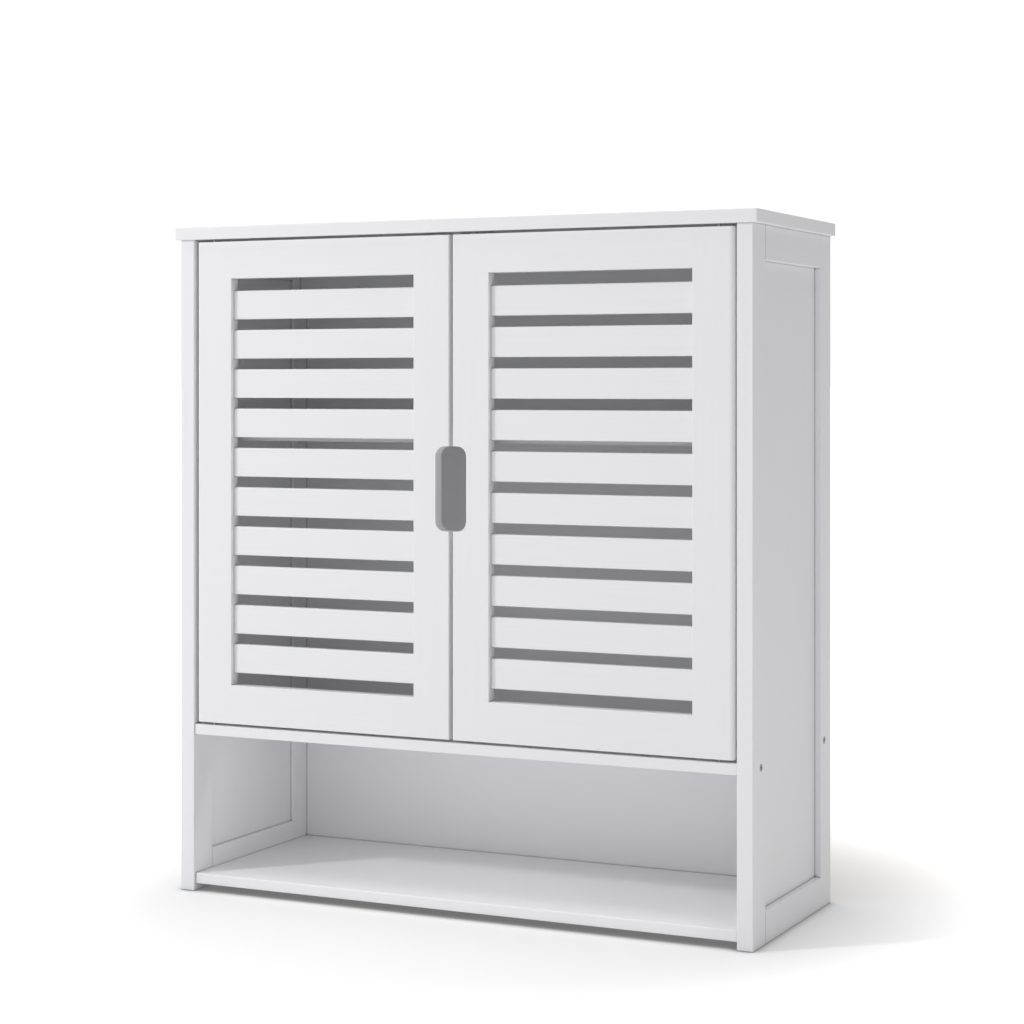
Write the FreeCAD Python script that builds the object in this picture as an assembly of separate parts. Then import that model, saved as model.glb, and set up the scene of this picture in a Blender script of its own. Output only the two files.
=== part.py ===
import FreeCAD, Part
import os

# Hanging wall cabinet in white painted wood: two louvred doors that turn on pivot pins above an open bay.
# Frame: +X to the right, -Y out of the doors, +Z up. The origin is on the floor plane of the feet, in the
# middle of the overall width and depth. Millimetres.

V = FreeCAD.Vector

# ---- driving dimensions -------------------------------------------------------------------------
WIDTH, DEPTH, HEIGHT = 600.0, 210.0, 640.0      # over the top board and the feet
TOP_THICK = 12.0
SIDE_OVERHANG, FRONT_OVERHANG = 5.0, 3.0        # top board past the side frames
TOP_ROUND, TOP_UNDER_ROUND, TOP_CORNER = 3.5, 2.0, 1.0
ARRIS = 0.8                                     # sanded edge on every board

SIDE_THICK, FRONT_STILE, BACK_STILE = 15.0, 31.0, 28.0      # side frames
HEAD_RAIL, FOOT_RAIL_OUT, FOOT_RAIL_IN = 31.0, 29.0, 36.0   # the foot rail's outer lip is the lower one
PANEL_THICK, PANEL_SET, GROOVE_DEEP, PANEL_PLAY = 5.0, 6.3, 8.0, 1.0

SHELF_THICK = 10.0
FOOT_SHELF_Z, FOOT_SHELF_SET = 7.0, 2.5         # underside height, set back from the stiles
MID_SHELF_Z, MID_SHELF_SET = 151.0, 1.5
LOOSE_SHELF_Z, LOOSE_SHELF_SET, LOOSE_SHELF_PLAY, LOOSE_SHELF_BACK_PLAY = 434.2, 25.5, 0.6, 1.0
BACK_THICK, BACK_REBATE = 3.0, 7.0
RAIL_THICK, RAIL_HIGH = 12.0, 50.0              # hanging rail inside, behind the doors
HANG_HOLE_R, HANG_SPACING, HANG_Z = 2.75, 400.0, 606.0

DOOR_THICK, DOOR_SET = 12.0, 1.0
DOOR_GAP_SIDE, DOOR_GAP_MID, DOOR_GAP_END = 3.0, 4.0, 2.5
HINGE_STILE, LOCK_STILE, DOOR_TOP_RAIL, DOOR_FOOT_RAIL = 39.0, 37.0, 35.5, 37.0
HINGE_ROUND = 4.0
TENON_THICK, TENON_LONG, TENON_SHOULDER = 4.0, 10.0, 6.0
SLATS, SLAT_HIGH, SLAT_THICK, SLAT_PITCH, SLAT_ROUND = 10, 27.5, 7.2, 37.65, 1.6
SLAT_BACK_SET = 0.3                             # slats sit this far in from the back of the door
SLAT_TENON = 6.0
GRIP_WIDE, GRIP_HIGH, GRIP_ROUND, GRIP_Z = 32.0, 78.0, 9.5, 393.0

PIVOT_IN, PIN_R, PIN_IN_DOOR, PIN_IN_BUSH, RUN_CLEAR = 16.0, 1.25, 14.0, 7.0, 0.05
BUSH_R, BUSH_DEEP, BORE_DEEP = 3.0, 8.0, 7.1

# ---- derived places -----------------------------------------------------------------------------
FRONT = -DEPTH / 2 + FRONT_OVERHANG             # front face of the stiles
BACK = DEPTH / 2
OUT = WIDTH / 2 - SIDE_OVERHANG                 # outer face of a side frame
IN = OUT - SIDE_THICK
SIDE_TOP = HEIGHT - TOP_THICK
RAIL_Y0, RAIL_Y1 = FRONT + FRONT_STILE, BACK - BACK_STILE
PANEL_OUT = OUT - PANEL_SET
PANEL_IN = PANEL_OUT - PANEL_THICK
BACK_Y = BACK - BACK_THICK                      # front face of the back panel
MID_TOP = MID_SHELF_Z + SHELF_THICK

DOOR_Y0 = FRONT + DOOR_SET
DOOR_Y1 = DOOR_Y0 + DOOR_THICK
DOOR_Z0, DOOR_Z1 = MID_TOP + DOOR_GAP_END, SIDE_TOP - DOOR_GAP_END
DOOR_X0, DOOR_X1 = DOOR_GAP_MID / 2, IN - DOOR_GAP_SIDE
LIGHT_X0, LIGHT_X1 = DOOR_X0 + LOCK_STILE, DOOR_X1 - HINGE_STILE
LIGHT_Z0, LIGHT_Z1 = DOOR_Z0 + DOOR_FOOT_RAIL, DOOR_Z1 - DOOR_TOP_RAIL
SLAT_TOP = (LIGHT_Z0 + LIGHT_Z1 + (SLATS - 1) * SLAT_PITCH + SLAT_HIGH) / 2
PIVOT_X, PIVOT_Y = DOOR_X1 - PIVOT_IN, DOOR_Y0 + DOOR_THICK / 2

os.makedirs("parts", exist_ok=True)


# ---- shape helpers ------------------------------------------------------------------------------
def block(x0, x1, y0, y1, z0, z1):
    return Part.makeBox(x1 - x0, y1 - y0, z1 - z0, V(x0, y0, z0))


def rod(radius, start, end):
    axis = V(*end) - V(*start)
    return Part.makeCylinder(radius, axis.Length, V(*start), axis)


def soften(shape, radius, wanted):
    """Round the straight edges of a shape that a test picks out."""
    edges = [e for e in shape.Edges if len(e.Vertexes) == 2 and wanted(e)]
    return shape.makeFillet(radius, edges)


def along(edge, axis):
    a, b = (v.Point for v in edge.Vertexes)
    return abs(getattr(b - a, axis)) > 0.9 * (b - a).Length


def at(edge, axis, value):
    return all(abs(getattr(v.Point, axis) - value) < 1e-4 for v in edge.Vertexes)


def board(x0, x1, y0, y1, z0, z1):
    """A plank along X with its long edges sanded."""
    return soften(block(x0, x1, y0, y1, z0, z1), ARRIS, lambda e: along(e, "x"))


def cut(shape, tools):
    return shape.cut(tools) if tools else shape


def near(shape, tools):
    """Only the tools whose box meets the shape, which keeps the cuts quick."""
    return [t for t in tools if shape.BoundBox.intersect(t.BoundBox)]


def flip(shape):
    return shape.mirror(V(0, 0, 0), V(1, 0, 0))


def both(shapes):
    return [*shapes, *(flip(s) for s in shapes)]


# ---- fasteners and fittings, made on the right and mirrored --------------------------------------
SCREW_TIP_R = 0.2


def countersunk_screw(face, way, shank_r, head_r, long):
    """A crosshead screw: the head's flat lies on the face point and the shank runs along way."""
    p, d = V(*face), V(*way)
    tip_long = 3 * shank_r
    cone = Part.makeCone(head_r, shank_r, head_r - shank_r, p, d)
    body = cone.fuse(Part.makeCylinder(shank_r, long - tip_long, p, d))
    tip = Part.makeCone(shank_r, SCREW_TIP_R, tip_long, p + d * (long - tip_long), d)
    return body.fuse(tip).removeSplitter()


def cross_recess(face, way, reach, wide, deep):
    """The cross that a screwdriver fills, sunk into a face."""
    side = V(0, 0, 1) if abs(way[2]) < 0.5 else V(1, 0, 0)
    other = V(*way).cross(side)
    bars = []
    for u, w in ((side, other), (other, side)):
        corner = V(*face) - u * reach - w * (wide / 2)
        far = corner + u * 2 * reach
        outline = [corner, far, far + w * wide, corner + w * wide, corner]
        bars.append(Part.Face(Part.makePolygon(outline)).extrude(V(*way) * deep))
    return bars[0].fuse(bars[1])


SHELF_SCREW = {"shank_r": 2.0, "head_r": 3.5, "long": 45.0}
SHELF_SCREW_CROSS = {"reach": 1.9, "wide": 0.9, "deep": 1.6}
SCREW_Z = MID_SHELF_Z + SHELF_THICK / 2
SCREW_FRONT_SET, SCREW_BACK_SET = 20.0, 18.5
screw_faces = [(OUT, y, SCREW_Z) for y in (FRONT + SCREW_FRONT_SET, BACK - SCREW_BACK_SET)]
shelf_screw_blanks = [countersunk_screw(face, (-1, 0, 0), **SHELF_SCREW) for face in screw_faces]
shelf_screws = [
    blank.cut(cross_recess(face, (-1, 0, 0), **SHELF_SCREW_CROSS))
    for blank, face in zip(shelf_screw_blanks, screw_faces)
]

CAM_DOWN, CAM_R, CAM_DEEP, CAM_SET = 15.0, 5.0, 9.5, 26.0
CAM_BOLT_R, CAM_BALL_R, CAM_CROSS = 2.5, 3.2, {"reach": 2.6, "wide": 1.2, "deep": 2.0}
IN_TOP_BOARD = 8.0                              # depth of bolts and dowels in the top board
CAM_Z = SIDE_TOP - CAM_DOWN
CAM_YS = (RAIL_Y0 + CAM_SET, RAIL_Y1 - CAM_SET)
CAM_BOLT_X = OUT - SIDE_THICK / 2


def cam_bolt(y):
    """Threaded in the top board, with its ball end held in the cam."""
    stem = rod(CAM_BOLT_R, (CAM_BOLT_X, y, CAM_Z), (CAM_BOLT_X, y, SIDE_TOP + IN_TOP_BOARD))
    return stem.fuse(Part.makeSphere(CAM_BALL_R, V(CAM_BOLT_X, y, CAM_Z))).removeSplitter()


def cam_blank(y):
    return rod(CAM_R, (IN, y, CAM_Z), (IN + CAM_DEEP, y, CAM_Z))


cam_bolts = [cam_bolt(y) for y in CAM_YS]
cam_blanks = [cam_blank(y) for y in CAM_YS]
cam_locks = [
    blank.cut(bolt).cut(cross_recess((IN, y, CAM_Z), (1, 0, 0), **CAM_CROSS))
    for blank, bolt, y in zip(cam_blanks, cam_bolts, CAM_YS)
]

DOWEL_R, DOWEL_IN_STILE, DOWEL_IN_SHELF, DOWEL_IN_SIDE = 3.0, 16.0, 16.0, 9.0
HANG_DOWEL_SET, HANG_DOWEL_IN_RAIL = 14.0, 20.0
STILE_MID = (FRONT + FRONT_STILE / 2, BACK - BACK_STILE / 2)
HANG_RAIL_Y0 = BACK_Y - RAIL_THICK
HANG_RAIL_Z0 = SIDE_TOP - RAIL_HIGH
HANG_RAIL_MID_Y = HANG_RAIL_Y0 + RAIL_THICK / 2
FOOT_DOWEL_Z = FOOT_SHELF_Z + SHELF_THICK / 2


def side_dowel(y, z, in_board):
    """A dowel from the end of a board into the side frame."""
    return rod(DOWEL_R, (IN - in_board, y, z), (IN + DOWEL_IN_SIDE, y, z))


dowels = [
    rod(DOWEL_R, (CAM_BOLT_X, y, SIDE_TOP - DOWEL_IN_STILE), (CAM_BOLT_X, y, SIDE_TOP + IN_TOP_BOARD))
    for y in STILE_MID
]
dowels += [side_dowel(y, FOOT_DOWEL_Z, DOWEL_IN_SHELF) for y in CAM_YS]
dowels += [
    side_dowel(HANG_RAIL_MID_Y, z, HANG_DOWEL_IN_RAIL)
    for z in (HANG_RAIL_Z0 + HANG_DOWEL_SET, SIDE_TOP - HANG_DOWEL_SET)
]

PIN_PAD, PIN_PAD_LONG, PIN_PAD_WIDE = 1.5, 10.0, 5.0
PIN_NECK_LONG, PIN_NECK_WIDE = 8.0, 2.4
PEG_R, PEG_DEEP, PEG_BACK_SET = 2.0, 8.0, 17.0
PEG_YS = (FRONT + LOOSE_SHELF_SET + PIN_PAD_WIDE / 2, BACK - PEG_BACK_SET)
PEG_Z = LOOSE_SHELF_Z - PIN_PAD - PEG_R


def shelf_pin(y):
    """A peg in the side frame with a flat pad under the shelf, joined by a thin neck."""
    peg = rod(PEG_R, (IN - PIN_NECK_LONG, y, PEG_Z), (IN + PEG_DEEP, y, PEG_Z))
    pad_y0, neck_y0 = y - PIN_PAD_WIDE / 2, y - PIN_NECK_WIDE / 2
    pad = block(IN - PIN_PAD_LONG, IN, pad_y0, pad_y0 + PIN_PAD_WIDE, LOOSE_SHELF_Z - PIN_PAD, LOOSE_SHELF_Z)
    neck = block(IN - PIN_NECK_LONG, IN, neck_y0, neck_y0 + PIN_NECK_WIDE, PEG_Z, LOOSE_SHELF_Z - PIN_PAD / 2)
    return peg.fuse([pad, neck]).removeSplitter()


shelf_pins = [shelf_pin(y) for y in PEG_YS]


def on_pivot(radius, z0, z1):
    return rod(radius, (PIVOT_X, PIVOT_Y, z0), (PIVOT_X, PIVOT_Y, z1))


# bushes sunk flush in the top board, going up, and in the middle shelf, going down
BUSH_PLACES = ((SIDE_TOP, 1), (MID_TOP, -1))
bush_blanks = [on_pivot(BUSH_R, z, z + up * BUSH_DEEP) for z, up in BUSH_PLACES]
pivot_bushes = [
    blank.cut(on_pivot(PIN_R + RUN_CLEAR, z, z + up * BORE_DEEP))
    for blank, (z, up) in zip(bush_blanks, BUSH_PLACES)
]
pivot_pins = [
    on_pivot(PIN_R, DOOR_Z1 - PIN_IN_DOOR, SIDE_TOP + PIN_IN_BUSH),
    on_pivot(PIN_R, MID_TOP - PIN_IN_BUSH, DOOR_Z0 + PIN_IN_DOOR),
]

# nails of the back panel: up both sides, into the hanging rail and along both fixed shelves
NAIL_R, NAIL_HEAD_R, NAIL_HEAD, NAIL_LONG = 0.8, 1.8, 0.6, 15.0
NAIL_SIDE_X = IN + BACK_REBATE / 2
NAIL_FIRST_Z, NAIL_PITCH, NAILS_UP_SIDE = 70.0, 96.0, 6
NAIL_XS, HANG_NAIL_UP = (70.0, 210.0), 10.0


def nail(x, z):
    shank = rod(NAIL_R, (x, BACK - NAIL_LONG, z), (x, BACK, z))
    return shank.fuse(rod(NAIL_HEAD_R, (x, BACK - NAIL_HEAD, z), (x, BACK, z))).removeSplitter()


NAIL_ROWS = (FOOT_SHELF_Z + SHELF_THICK / 2, MID_SHELF_Z + SHELF_THICK / 2, HANG_RAIL_Z0 + HANG_NAIL_UP)
nail_places = [(NAIL_SIDE_X, NAIL_FIRST_Z + NAIL_PITCH * i) for i in range(NAILS_UP_SIDE)]
nail_places += [(x, z) for z in NAIL_ROWS for x in NAIL_XS]
back_nails = [nail(x, z) for x, z in nail_places]

# ---- magnetic catch under the top board ----------------------------------------------------------
CATCH_WIDE, CATCH_DEEP, CATCH_HIGH, CATCH_CLEAR, CATCH_CORNER = 64.0, 16.0, 14.0, 0.4, 1.5
CATCH_Y0 = DOOR_Y1 + CATCH_CLEAR
MAGNET_X, MAGNET_WIDE, MAGNET_HIGH, MAGNET_LONG = 18.0, 13.0, 8.0, 9.0
CATCH_Z0 = SIDE_TOP - CATCH_HIGH
MAGNET_Z = CATCH_Z0 + CATCH_HIGH / 2
catch_magnet = block(
    MAGNET_X - MAGNET_WIDE / 2, MAGNET_X + MAGNET_WIDE / 2, CATCH_Y0, CATCH_Y0 + MAGNET_LONG,
    MAGNET_Z - MAGNET_HIGH / 2, MAGNET_Z + MAGNET_HIGH / 2,
)
CATCH_SCREW = {"shank_r": 1.4, "head_r": 2.8, "long": 22.0}
CATCH_SCREW_CROSS = {"reach": 1.5, "wide": 0.8, "deep": 1.3}
CATCH_SCREW_X, CATCH_SCREW_IN = 27.5, 12.0
catch_screw_face = (CATCH_SCREW_X, CATCH_Y0 + CATCH_SCREW_IN, CATCH_Z0)
catch_screw_blank = countersunk_screw(catch_screw_face, (0, 0, 1), **CATCH_SCREW)
catch_screw = catch_screw_blank.cut(cross_recess(catch_screw_face, (0, 0, 1), **CATCH_SCREW_CROSS))
housing = soften(
    block(-CATCH_WIDE / 2, CATCH_WIDE / 2, CATCH_Y0, CATCH_Y0 + CATCH_DEEP, CATCH_Z0, SIDE_TOP),
    CATCH_CORNER, lambda e: along(e, "z"),
)
catch_housing = cut(housing, both([catch_magnet, catch_screw_blank]))

STRIKE_R, STRIKE_THICK, STRIKE_PEG_R, STRIKE_PEG = 6.5, 1.2, 2.0, 7.0
strike_face = (MAGNET_X, DOOR_Y1, MAGNET_Z)
strike = rod(STRIKE_R, (MAGNET_X, DOOR_Y1 - STRIKE_THICK, MAGNET_Z), strike_face).fuse(
    rod(STRIKE_PEG_R, (MAGNET_X, DOOR_Y1 - STRIKE_PEG, MAGNET_Z), strike_face)
).removeSplitter()

hang_hole = rod(HANG_HOLE_R, (HANG_SPACING / 2, HANG_RAIL_Y0, HANG_Z), (HANG_SPACING / 2, BACK, HANG_Z))
peg_holes = [rod(PEG_R, (IN, y, PEG_Z), (IN + PEG_DEEP, y, PEG_Z)) for y in PEG_YS]
carcass_tools = both([
    *shelf_screw_blanks, *cam_blanks, *cam_bolts, *dowels, *peg_holes,
    *bush_blanks, *back_nails, hang_hole, catch_screw_blank,
])


def drilled(shape):
    return cut(shape, near(shape, carcass_tools))


# ---- carcass ------------------------------------------------------------------------------------
def top_board():
    b = block(-WIDTH / 2, WIDTH / 2, -DEPTH / 2, BACK, SIDE_TOP, HEIGHT)
    b = soften(b, TOP_CORNER, lambda e: along(e, "z"))
    upper = [e for e in b.Edges if at(e, "z", HEIGHT)]
    b = b.makeFillet(TOP_ROUND, upper)
    lower = [e for e in b.Edges if at(e, "z", SIDE_TOP)]
    return drilled(b.makeFillet(TOP_UNDER_ROUND, lower))


def back_panel():
    return drilled(block(-IN - BACK_REBATE, IN + BACK_REBATE, BACK_Y, BACK, FOOT_SHELF_Z, SIDE_TOP))


def stile_blank(y0, y1):
    """A full-height stile with its long edges and its foot sanded."""
    return soften(block(IN, OUT, y0, y1, 0, SIDE_TOP), ARRIS, lambda e: along(e, "z") or at(e, "z", 0))


def front_stile():
    groove = block(PANEL_IN, PANEL_OUT, RAIL_Y0 - GROOVE_DEEP, RAIL_Y0, 0, SIDE_TOP)
    return drilled(stile_blank(FRONT, RAIL_Y0).cut(groove))


def back_stile():
    groove = block(PANEL_IN, PANEL_OUT, RAIL_Y1, RAIL_Y1 + GROOVE_DEEP, 0, SIDE_TOP)
    rebate = block(IN, IN + BACK_REBATE, BACK_Y, BACK, FOOT_SHELF_Z, SIDE_TOP)
    return drilled(stile_blank(RAIL_Y1, BACK).cut([groove, rebate]))


def side_rail(base_z, out_lip_z, in_lip_z, groove_z):
    """A rail whose two lips hold the panel in a groove, with a tongue at each end in the stiles' grooves."""
    layers = ((PANEL_OUT, OUT, out_lip_z), (PANEL_IN, PANEL_OUT, groove_z), (IN, PANEL_IN, in_lip_z))
    outer, core, inner = (block(x0, x1, RAIL_Y0, RAIL_Y1, *sorted((base_z, z))) for x0, x1, z in layers)
    rail = outer.fuse([core, inner]).removeSplitter()
    rail = soften(rail, ARRIS, lambda e: along(e, "y") and not at(e, "z", SIDE_TOP)
                  and (at(e, "x", IN) or at(e, "x", OUT)))
    tongue = block(PANEL_IN, PANEL_OUT, RAIL_Y0 - GROOVE_DEEP, RAIL_Y1 + GROOVE_DEEP,
                   *sorted((base_z, groove_z)))
    return drilled(rail.fuse(tongue).removeSplitter())


HEAD_LIP = SIDE_TOP - HEAD_RAIL


def side_panel():
    reach = GROOVE_DEEP - PANEL_PLAY
    return drilled(block(PANEL_IN, PANEL_OUT, RAIL_Y0 - reach, RAIL_Y1 + reach,
                         FOOT_RAIL_OUT - reach, HEAD_LIP + reach))


def fixed_shelf(z0, set_back):
    return drilled(board(-IN, IN, FRONT + set_back, BACK_Y, z0, z0 + SHELF_THICK))


right_side = {
    "front_stile": front_stile(),
    "back_stile": back_stile(),
    "top_rail": side_rail(SIDE_TOP, HEAD_LIP, HEAD_LIP, HEAD_LIP + GROOVE_DEEP),
    "bottom_rail": side_rail(0, FOOT_RAIL_OUT, FOOT_RAIL_IN, FOOT_RAIL_OUT - GROOVE_DEEP),
    "side_panel": side_panel(),
}
loose_reach = IN - LOOSE_SHELF_PLAY
nodes = {
    "top_board": top_board(),
    "bottom_shelf": fixed_shelf(FOOT_SHELF_Z, FOOT_SHELF_SET),
    "middle_shelf": fixed_shelf(MID_SHELF_Z, MID_SHELF_SET),
    "inner_shelf": board(-loose_reach, loose_reach, FRONT + LOOSE_SHELF_SET, BACK_Y - LOOSE_SHELF_BACK_PLAY,
                         LOOSE_SHELF_Z, LOOSE_SHELF_Z + SHELF_THICK),
    "back_panel": back_panel(),
    "hanging_rail": drilled(board(-IN, IN, HANG_RAIL_Y0, BACK_Y, HANG_RAIL_Z0, SIDE_TOP)),
    "shelf_screws": Part.Compound(both(shelf_screws)),
    "cam_bolts": Part.Compound(both(cam_bolts)),
    "cam_locks": Part.Compound(both(cam_locks)),
    "wood_dowels": Part.Compound(both(dowels)),
    "shelf_pins": Part.Compound(both(shelf_pins)),
    "back_panel_nails": Part.Compound(both(back_nails)),
    "pivot_bushes": Part.Compound(both(pivot_bushes)),
    "catch_housing": catch_housing,
    "catch_magnets": Part.Compound(both([catch_magnet])),
    "catch_screws": Part.Compound(both([catch_screw])),
}
for name, shape in right_side.items():
    nodes["right_" + name] = shape
    nodes["left_" + name] = flip(shape)


# ---- doors: made on the right, where the hinge is at +X, and mirrored ----------------------------
def slat(z1):
    """One louvre slat with stub ends that sit in slots in both stiles."""
    x0, x1 = LIGHT_X0 - SLAT_TENON, LIGHT_X1 + SLAT_TENON
    y1 = DOOR_Y1 - SLAT_BACK_SET
    return soften(block(x0, x1, y1 - SLAT_THICK, y1, z1 - SLAT_HIGH, z1), SLAT_ROUND, lambda e: along(e, "x"))


slats = [slat(SLAT_TOP - i * SLAT_PITCH) for i in range(SLATS)]


def door_frame():
    """The four frame members in one piece, with every edge that shows rounded over."""
    plate = block(DOOR_X0, DOOR_X1, DOOR_Y0, DOOR_Y1, DOOR_Z0, DOOR_Z1)
    plate = soften(plate, HINGE_ROUND, lambda e: at(e, "x", DOOR_X1) and at(e, "y", DOOR_Y0))
    plate = soften(plate, ARRIS, lambda e: at(e, "y", DOOR_Y0) and not at(e, "x", DOOR_X1))
    grip_x, grip_z0, grip_z1 = GRIP_WIDE / 2, GRIP_Z - GRIP_HIGH / 2, GRIP_Z + GRIP_HIGH / 2
    grip = block(-grip_x, grip_x, DOOR_Y0, DOOR_Y1, grip_z0, grip_z1)
    grip = soften(grip, GRIP_ROUND, lambda e: along(e, "y"))
    light = block(LIGHT_X0, LIGHT_X1, DOOR_Y0, DOOR_Y1, LIGHT_Z0, LIGHT_Z1)
    plate = plate.cut([grip, light])

    def round_the_light(edge):
        middle = edge.CenterOfMass
        on_a_face = at(edge, "y", DOOR_Y0) or at(edge, "y", DOOR_Y1)
        in_light = LIGHT_X0 <= middle.x <= LIGHT_X1 and LIGHT_Z0 <= middle.z <= LIGHT_Z1
        return on_a_face and in_light

    return soften(plate, ARRIS, round_the_light)


frame = door_frame()
mid_y = (DOOR_Y0 + DOOR_Y1) / 2
tenons = [
    block(LIGHT_X0 - TENON_LONG, LIGHT_X1 + TENON_LONG, mid_y - TENON_THICK / 2, mid_y + TENON_THICK / 2,
          z0 + TENON_SHOULDER, z1 - TENON_SHOULDER)
    for z0, z1 in ((LIGHT_Z1, DOOR_Z1), (DOOR_Z0, LIGHT_Z0))
]


def frame_piece(x0, x1, z0, z1):
    return frame.common(block(x0, x1, DOOR_Y0, DOOR_Y1, z0, z1))


def door_rail(z0, z1, tenon):
    return frame_piece(LIGHT_X0, LIGHT_X1, z0, z1).fuse(tenon).removeSplitter()


def door_stile(x0, x1, fittings):
    return frame_piece(x0, x1, DOOR_Z0, DOOR_Z1).cut([*tenons, *slats, *fittings])


right_door = {
    "hinge_stile": door_stile(LIGHT_X1, DOOR_X1, pivot_pins),
    "lock_stile": door_stile(DOOR_X0, LIGHT_X0, [strike]),
    "door_top_rail": door_rail(LIGHT_Z1, DOOR_Z1, tenons[0]),
    "door_bottom_rail": door_rail(DOOR_Z0, LIGHT_Z0, tenons[1]),
    "pivot_pins": Part.Compound(pivot_pins),
    "strike_plate": strike,
}
for i, shape in enumerate(slats, 1):
    right_door[f"slat_{i:02d}"] = shape
for name, shape in right_door.items():
    nodes["right_" + name] = shape
    nodes["left_" + name] = flip(shape)

for name, shape in nodes.items():
    shape.exportStep(f"parts/{name}.step")
print(len(nodes), "nodes; door pivot axes at X +/-", round(PIVOT_X, 2), "Y", round(PIVOT_Y, 2))
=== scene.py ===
from math import radians

import bmesh
import bpy
from mathutils import Matrix, Vector


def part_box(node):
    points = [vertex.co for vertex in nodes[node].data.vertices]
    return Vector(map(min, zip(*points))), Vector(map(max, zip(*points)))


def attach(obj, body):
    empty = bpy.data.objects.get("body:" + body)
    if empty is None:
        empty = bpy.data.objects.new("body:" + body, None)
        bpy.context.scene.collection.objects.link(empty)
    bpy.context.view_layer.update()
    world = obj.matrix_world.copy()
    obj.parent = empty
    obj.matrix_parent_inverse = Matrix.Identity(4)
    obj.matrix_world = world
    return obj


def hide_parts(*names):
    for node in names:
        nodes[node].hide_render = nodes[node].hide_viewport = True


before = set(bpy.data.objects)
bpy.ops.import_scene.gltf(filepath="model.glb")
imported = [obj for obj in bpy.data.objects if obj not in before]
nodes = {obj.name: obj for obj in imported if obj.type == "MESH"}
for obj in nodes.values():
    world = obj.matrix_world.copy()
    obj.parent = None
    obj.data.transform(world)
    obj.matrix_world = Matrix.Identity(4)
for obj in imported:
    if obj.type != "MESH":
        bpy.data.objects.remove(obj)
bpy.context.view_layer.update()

MM = 0.001

# The painted shade in the crease where two painted faces meet: how far it reaches, and how dark it
# gets.
CREASE_SHADE_MM, CREASE_SHADE_DARKEST = 2.3, 0.4
# How open a spot is, from 0 to 1, where a crease is darkest and where it has gone.
CREASE_SHUT, CREASE_OPEN = 0.42, 0.86

# The rounds of the top board.
TOP_CORNER, TOP_ROUND_ABOVE, TOP_ROUND_BELOW = 1.2 * MM, 3.6 * MM, 2.0 * MM

# The floor paper: its side and where its middle lies, then the wide soft painted shadow around the
# cabinet and the tight painted shadow under its feet.
PAPER_SIDE, PAPER_MIDDLE = 1200.0, (150.0, -60.0, 0.0)
WIDE_PAINTED_SHADOW_MM, WIDE_PAINTED_SHADOW_DARKEST = 90.0, 0.72
FOOT_PAINTED_SHADOW_MM, FOOT_PAINTED_SHADOW_DARKEST = 12.0, 0.2
# The paper's glow: the distances it changes between, then its strength near, far, and far as seen.
GLOW_FROM, GLOW_TO = 0.3, 0.66
GLOW_NEAR, GLOW_FAR, GLOW_SEEN = 0.14, 0.2, 0.9

# Lamps: place, aim, width, height, watts.
KEY = ((-2.12, -2.05, 2.0), (0, 0, 0.3), 0.28, 0.28, 34)
OVERHEAD = ((-0.15, -0.15, 6.0), (-0.15, -0.15, 0), 4.1, 4.1, 130)
# Cards in the three compartments: lower edge, upper edge, Y, downward tilt, watts per square metre.
CARD_WIDE = 0.52
CARDS = {
    "card_open_bay": (0.022, 0.147, -0.094, 0.4, 0.92),
    "card_below_inner_shelf": (0.17, 0.425, -0.086, 0, 0.36),
    "card_above_inner_shelf": (0.45, 0.61, -0.086, 0, 0.38),
}
SKY, BACKDROP = 0.385, 1.05

CAMERA_PLACE, CAMERA_TURN = (0.9809, -1.9232, 0.4880), 24.44
LENS_MM, SENSOR_MM, LENS_SHIFT = 79.435, 36.0, (-0.0887, -0.1240)


# ---- shader building ----------------------------------------------------------------------------
def linear(hex_colour):
    """An sRGB hex colour as linear RGBA."""
    parts = [int(hex_colour[i:i + 2], 16) / 255 for i in (1, 3, 5)]
    return (*(c / 12.92 if c <= 0.04045 else ((c + 0.055) / 1.055) ** 2.4 for c in parts), 1.0)


def add(tree, kind, inputs=(), **settings):
    """Adds a node; inputs pairs a socket's name or index with a value, or with a socket to link."""
    made = tree.nodes.new("ShaderNode" + kind)
    for name, value in settings.items():
        setattr(made, name, value)
    for key, value in dict(inputs).items():
        if isinstance(value, bpy.types.NodeSocket):
            tree.links.new(value, made.inputs[key])
        else:
            made.inputs[key].default_value = value
    return made


def new_material(name):
    """An empty material, its tree, and the object coordinates that its patterns use."""
    material = bpy.data.materials.new(name)
    material.use_nodes = True
    tree = material.node_tree
    tree.nodes.clear()
    place = add(tree, "TexCoord").outputs["Object"]
    return material, tree, place


def finish_material(tree, shader):
    add(tree, "OutputMaterial", {"Surface": shader.outputs[0]})


def per_mm(size):
    """The texture scale that repeats once in that many millimetres."""
    return 1 / (size * MM)


def long_grain(along, across_mm, along_mm):
    """The scales that draw a pattern out along the grain."""
    return [per_mm(along_mm if axis == along else across_mm) for axis in "xyz"]


def set_ramp(ramp, start, end, first, last):
    """Places a colour ramp's two stops and gives them their colours."""
    low, high = ramp.color_ramp.elements[0], ramp.color_ramp.elements[1]
    low.position, high.position = start, end
    low.color, high.color = linear(first), linear(last)


def painted_crease_shade(tree, colour, reach_mm, darkest):
    """Paints shade into a colour: darkens it in the crease where two faces meet, the more as nearby
    faces hem the spot in.
    """
    opening = add(tree, "AmbientOcclusion", {"Distance": reach_mm * MM}, samples=4)
    painted_shade = add(tree, "MapRange", {"Value": opening.outputs["AO"], "From Min": CREASE_SHUT,
                                  "From Max": CREASE_OPEN, "To Min": darkest, "To Max": 1.0},
               interpolation_type="SMOOTHSTEP")
    return add(tree, "Mix", {"Factor": 1.0, "A": colour, "B": painted_shade.outputs[0]},
               data_type="RGBA", blend_type="MULTIPLY").outputs["Result"]


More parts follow.
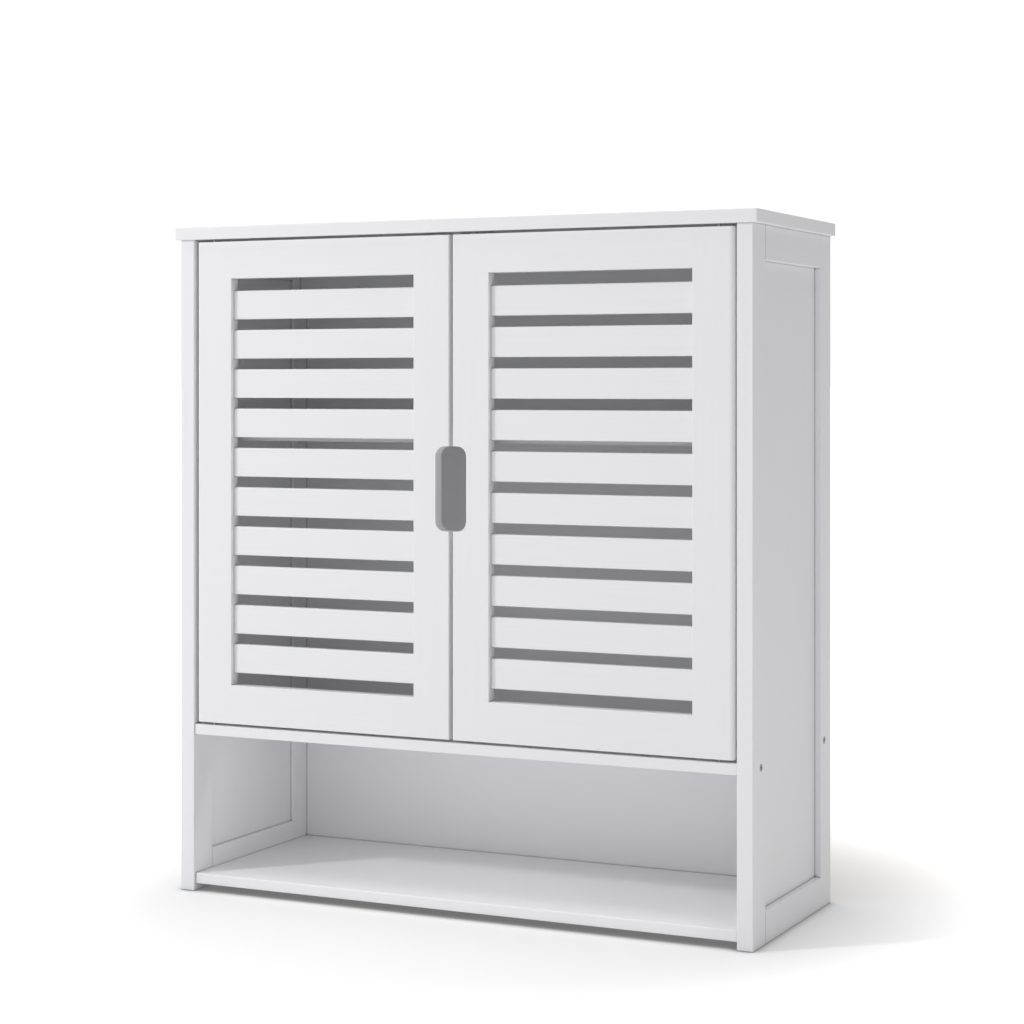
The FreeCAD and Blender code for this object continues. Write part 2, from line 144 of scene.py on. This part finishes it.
# Satin alkyd paint, sprayed in two coats over sanded pine: nearly smooth, with the long grain just
# telegraphing through, a fine spray stipple, and a slow drift in tone from board to board. The grain
# and the stipple are drawn coarser than they are, so that they show.
def painted_pine(name, along):
    material, tree, place = new_material(name)
    drawn_out = add(tree, "Mapping", {"Vector": place, "Scale": long_grain(along, 3.2, 140)})
    grain = add(tree, "TexNoise", {"Vector": drawn_out.outputs[0], "Scale": 1.0, "Detail": 5.0,
                                   "Roughness": 0.62})
    drift = add(tree, "TexNoise", {"Vector": place, "Scale": per_mm(170), "Detail": 2.0,
                                   "Roughness": 0.5})
    stipple = add(tree, "TexNoise", {"Vector": place, "Scale": per_mm(1.6), "Detail": 2.0,
                                     "Roughness": 0.6})
    tone = add(tree, "ValToRGB", {"Fac": grain.outputs["Fac"]})
    set_ramp(tone, 0.3, 0.72, "#efeff1", "#f3f3f5")
    shade = add(tree, "Mix", {"Factor": drift.outputs["Fac"], "A": tone.outputs[0],
                              "B": linear("#f3f3f5")}, data_type="RGBA", blend_type="MIX")
    rough = add(tree, "MapRange", {"Value": grain.outputs["Fac"], "To Min": 0.36, "To Max": 0.46})
    coarse = add(tree, "Bump", {"Height": grain.outputs["Fac"], "Strength": 0.14,
                                "Distance": 0.1 * MM})
    fine = add(tree, "Bump", {"Height": stipple.outputs["Fac"], "Strength": 0.22,
                              "Distance": 0.05 * MM, "Normal": coarse.outputs[0]})
    # The base colour carries painted shade, darkened in the creases where boards and parts meet.
    shader = add(tree, "BsdfPrincipled", {
        "Base Color": painted_crease_shade(tree, shade.outputs["Result"], CREASE_SHADE_MM, CREASE_SHADE_DARKEST),
        "Roughness": rough.outputs[0], "Normal": fine.outputs[0], "IOR": 1.5,
    })
    finish_material(tree, shader)
    return material


PAINT = {along: painted_pine(f"satin_white_paint_on_pine_grain_{along}", along) for along in "xyz"}


# Thin fibreboard: a pale flat roller lacquer on the face that shows in the bays, bare brown board with
# mixed fibres on the face to the wall.
def lacquered_fibreboard(name, wall_y):
    material, tree, place = new_material(name)
    fibre = add(tree, "TexNoise", {"Vector": place, "Scale": per_mm(4.5), "Detail": 6.0,
                                   "Roughness": 0.7})
    fleck = add(tree, "TexNoise", {"Vector": place, "Scale": per_mm(1.3), "Detail": 3.0,
                                   "Roughness": 0.8})
    bare = add(tree, "ValToRGB", {"Fac": fibre.outputs["Fac"]})
    set_ramp(bare, 0.32, 0.68, "#8a6a4b", "#a98862")
    axis = add(tree, "SeparateXYZ", {"Vector": place})
    wall_face = add(tree, "Math", {0: axis.outputs["Y"], 1: wall_y - 0.2 * MM},
                    operation="GREATER_THAN")
    colour = add(tree, "Mix", {"Factor": wall_face.outputs[0], "A": linear("#f0f0f3"),
                               "B": bare.outputs[0]}, data_type="RGBA")
    rough = add(tree, "MapRange", {"Value": wall_face.outputs[0], "To Min": 0.42, "To Max": 0.8})
    weave = add(tree, "Bump", {"Height": fleck.outputs["Fac"], "Strength": 0.25,
                               "Distance": 0.06 * MM})
    # The base colour carries painted shade, darkened in the creases where the board meets the frame.
    shader = add(tree, "BsdfPrincipled", {
        "Base Color": painted_crease_shade(tree, colour.outputs["Result"], CREASE_SHADE_MM, CREASE_SHADE_DARKEST),
        "Roughness": rough.outputs[0], "Normal": weave.outputs[0], "IOR": 1.48,
    })
    finish_material(tree, shader)
    return material


BACKBOARD = lacquered_fibreboard("white_lacquered_fibreboard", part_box("back_panel")[1].y)


def metal(name, light, dark, roughness, mottle_mm):
    """A bare or plated metal with a faint mottle in its colour and gloss."""
    material, tree, place = new_material(name)
    mottle = add(tree, "TexNoise", {"Vector": place, "Scale": per_mm(mottle_mm), "Detail": 4.0,
                                    "Roughness": 0.6})
    colour = add(tree, "Mix", {"Factor": mottle.outputs["Fac"], "A": linear(dark),
                               "B": linear(light)}, data_type="RGBA")
    rough = add(tree, "MapRange", {"Value": mottle.outputs["Fac"], "To Min": roughness - 0.06,
                                   "To Max": roughness + 0.08})
    bump = add(tree, "Bump", {"Height": mottle.outputs["Fac"], "Strength": 0.15,
                              "Distance": 0.03 * MM})
    shader = add(tree, "BsdfPrincipled", {
        "Base Color": colour.outputs["Result"], "Metallic": 1.0, "Roughness": rough.outputs[0],
        "Normal": bump.outputs[0],
    })
    finish_material(tree, shader)
    return material


# Bright zinc plate on drawn steel: pale, slightly blue, softly mirrored.
ZINC = metal("bright_zinc_plated_steel", "#d9dbdd", "#c3c6c9", 0.3, 1.5)
# Passivated screw heads: zinc gone dull, so the heads read as small grey dots with a dark cross.
DULL_ZINC = metal("dull_passivated_screw_steel", "#b2b4b6", "#989a9d", 0.42, 0.9)
# Nickel plate on turned steel: warmer and smoother than zinc.
NICKEL = metal("nickel_plated_steel", "#cfcac0", "#b9b4a9", 0.22, 2.5)
# Die-cast zinc: duller, with the grain of the casting skin.
CASTING = metal("die_cast_zinc", "#a9adb1", "#8d9195", 0.48, 0.7)


def moulded(name, light, dark, roughness, grain_mm, ior):
    """A moulded or sintered body: one colour with a fine even surface texture."""
    material, tree, place = new_material(name)
    grain = add(tree, "TexNoise", {"Vector": place, "Scale": per_mm(grain_mm), "Detail": 3.0,
                                   "Roughness": 0.55})
    colour = add(tree, "Mix", {"Factor": grain.outputs["Fac"], "A": linear(dark),
                               "B": linear(light)}, data_type="RGBA")
    bump = add(tree, "Bump", {"Height": grain.outputs["Fac"], "Strength": 0.2,
                              "Distance": 0.04 * MM})
    shader = add(tree, "BsdfPrincipled", {
        "Base Color": colour.outputs["Result"], "Roughness": roughness, "Normal": bump.outputs[0],
        "IOR": ior,
    })
    finish_material(tree, shader)
    return material


# Natural nylon, moulded: a warm milky white with a soft sheen.
NYLON = moulded("natural_nylon_bush", "#e6e4dc", "#dddad0", 0.42, 1.0, 1.53)
# White ABS from a spark-eroded mould: an even fine tooth that takes the shine off.
ABS = moulded("white_abs_spark_texture", "#e8e8e6", "#dfdfdd", 0.5, 0.6, 1.53)
# Sintered ferrite, ground flat: near black, dull, faintly granular.
FERRITE = moulded("ground_ferrite", "#2c2b2c", "#211f20", 0.55, 0.5, 1.9)


# Turned beech, bare: pinkish tan with short dark ray flecks along the grain.
def bare_beech(name, along):
    material, tree, place = new_material(name)
    drawn_out = add(tree, "Mapping", {"Vector": place, "Scale": long_grain(along, 1.1, 9)})
    fleck = add(tree, "TexNoise", {"Vector": drawn_out.outputs[0], "Scale": 1.0, "Detail": 4.0,
                                   "Roughness": 0.7})
    colour = add(tree, "ValToRGB", {"Fac": fleck.outputs["Fac"]})
    set_ramp(colour, 0.35, 0.6, "#a87c56", "#cda47c")
    bump = add(tree, "Bump", {"Height": fleck.outputs["Fac"], "Strength": 0.3,
                              "Distance": 0.05 * MM})
    shader = add(tree, "BsdfPrincipled", {
        "Base Color": colour.outputs[0], "Roughness": 0.62, "Normal": bump.outputs[0], "IOR": 1.5,
    })
    finish_material(tree, shader)
    return material


BEECH = bare_beech("bare_turned_beech", "x")

# ---- which finish each node takes: these for the fittings, and paint for every board ---------------
FITTINGS = {
    "back_panel": BACKBOARD, "wood_dowels": BEECH, "shelf_screws": DULL_ZINC, "cam_bolts": ZINC,
    "cam_locks": CASTING, "shelf_pins": NICKEL, "back_panel_nails": ZINC, "pivot_bushes": NYLON,
    "catch_housing": ABS, "catch_magnets": FERRITE, "catch_screws": ZINC,
    "left_pivot_pins": NICKEL, "right_pivot_pins": NICKEL,
    "left_strike_plate": NICKEL, "right_strike_plate": NICKEL,
}


def grain_way(name):
    """The axis that a board is longest along, which is the way its grain runs."""
    if name.endswith("side_panel"):
        return "z"
    low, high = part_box(name)
    size = high - low
    return "xyz"[max(range(3), key=lambda i: size[i])]


for name, obj in nodes.items():
    material = FITTINGS.get(name) or PAINT[grain_way(name)]
    obj.data.materials.clear()
    obj.data.materials.append(material)


# ---- the top board, with a fuller round above than below --------------------------------------------
def edges_at_height(mesh, z):
    return [e for e in mesh.edges if all(abs(v.co.z - z) < 0.01 * MM for v in e.verts)]


def round_over(mesh, edges, radius, segments):
    bmesh.ops.bevel(mesh, geom=edges, offset=radius, offset_type="OFFSET", segments=segments,
                    profile=0.5, affect="EDGES", material=-1, clamp_overlap=True)


def shaped_top_board():
    low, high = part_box("top_board")
    middle, size = (low + high) / 2, high - low
    blank = Matrix.Translation(middle) @ Matrix.Diagonal((*size, 1.0))
    mesh = bmesh.new()
    bmesh.ops.create_cube(mesh, size=1.0, matrix=blank)
    corners = [e for e in mesh.edges if abs(e.verts[0].co.z - e.verts[1].co.z) > 0.5 * size.z]
    round_over(mesh, corners, TOP_CORNER, 4)
    round_over(mesh, edges_at_height(mesh, high.z), TOP_ROUND_ABOVE, 8)
    round_over(mesh, edges_at_height(mesh, low.z), TOP_ROUND_BELOW, 6)
    data = bpy.data.meshes.new("top_board_shaped")
    mesh.to_mesh(data)
    mesh.free()
    board = bpy.data.objects.new("top_board_shaped", data)
    bpy.context.scene.collection.objects.link(board)
    data.materials.append(PAINT["x"])
    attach(board, "cabinet")
    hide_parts("top_board")


shaped_top_board()


# ---- studio -----------------------------------------------------------------------------------------
def stage_floor():
    """White paper that runs to the horizon. Close to the cabinet it is lit almost only by the lamps,
    so that contact shadows show, and its colour is darkened there as well with painted shadow, wide
    and soft around the cabinet and tight under its feet; further out it glows up to white."""
    bpy.ops.mesh.primitive_plane_add(size=PAPER_SIDE)
    floor = bpy.context.object
    floor.name = "studio_floor"
    floor.data.transform(Matrix.Translation(PAPER_MIDDLE))
    material, tree, place = new_material("pale_paper_floor")
    reach = add(tree, "VectorMath", {0: place}, operation="LENGTH")
    seen = add(tree, "LightPath").outputs["Is Camera Ray"]
    far = add(tree, "MapRange", {"Value": seen, "To Min": GLOW_FAR, "To Max": GLOW_SEEN})
    strength = add(tree, "MapRange", {"Value": reach.outputs["Value"], "From Min": GLOW_FROM,
                                      "From Max": GLOW_TO, "To Min": GLOW_NEAR,
                                      "To Max": far.outputs[0]}, interpolation_type="SMOOTHSTEP")
    glow = add(tree, "Emission", {"Color": (1, 1, 1, 1), "Strength": strength.outputs[0]})
    # Painted shadow on the paper: a wide soft darkening around the cabinet, then a tight dark one
    # under its feet.
    shaded = painted_crease_shade(tree, linear("#f6f6f6"), WIDE_PAINTED_SHADOW_MM, WIDE_PAINTED_SHADOW_DARKEST)
    painted_foot_shadow = painted_crease_shade(tree, shaded, FOOT_PAINTED_SHADOW_MM, FOOT_PAINTED_SHADOW_DARKEST)
    paper = add(tree, "BsdfDiffuse", {"Color": painted_foot_shadow})
    finish_material(tree, add(tree, "AddShader", {0: glow.outputs[0], 1: paper.outputs[0]}))
    floor.data.materials.append(material)


def soft_box(name, place, aim, wide, high, watts):
    """A rectangular lamp at a place, turned to face its aim."""
    lamp = bpy.data.lights.new(name, "AREA")
    lamp.shape, lamp.size, lamp.size_y, lamp.energy = "RECTANGLE", wide, high, watts
    obj = bpy.data.objects.new(name, lamp)
    bpy.context.scene.collection.objects.link(obj)
    obj.location = place
    obj.rotation_euler = (Vector(aim) - obj.location).to_track_quat("-Z", "Y").to_euler()
    return obj


def bay_card(name, low_z, high_z, y, tilt, strength):
    """A faint unseen card across the front of one compartment, shining in on its shelves and back."""
    high, z = high_z - low_z, (low_z + high_z) / 2
    watts = strength * CARD_WIDE * high
    card = soft_box(name, (0, y, z), (0, y + 1, z - tilt), CARD_WIDE, high, watts)
    card.visible_camera = False


def studio_sky():
    world = bpy.data.worlds.new("studio_sky")
    world.use_nodes = True
    tree = world.node_tree
    tree.nodes.clear()
    ambient = add(tree, "Background", {"Color": (1, 1, 1, 1), "Strength": SKY})
    backdrop = add(tree, "Background", {"Color": (1, 1, 1, 1), "Strength": BACKDROP})
    seen = add(tree, "LightPath").outputs["Is Camera Ray"]
    both = add(tree, "MixShader", {0: seen, 1: ambient.outputs[0], 2: backdrop.outputs[0]})
    add(tree, "OutputWorld", {"Surface": both.outputs[0]})
    bpy.context.scene.world = world


def camera():
    lens = bpy.data.cameras.new("camera")
    lens.sensor_width, lens.lens = SENSOR_MM, LENS_MM
    lens.shift_x, lens.shift_y = LENS_SHIFT
    lens.clip_end = 2000.0
    obj = bpy.data.objects.new("camera", lens)
    bpy.context.scene.collection.objects.link(obj)
    obj.location = CAMERA_PLACE
    obj.rotation_euler = (radians(90), 0, radians(CAMERA_TURN))
    bpy.context.scene.camera = obj


stage_floor()
soft_box("key", *KEY)
soft_box("overhead", *OVERHEAD)
for name, card in CARDS.items():
    bay_card(name, *card)
studio_sky()
camera()
bpy.context.scene.view_settings.view_transform = "Standard"
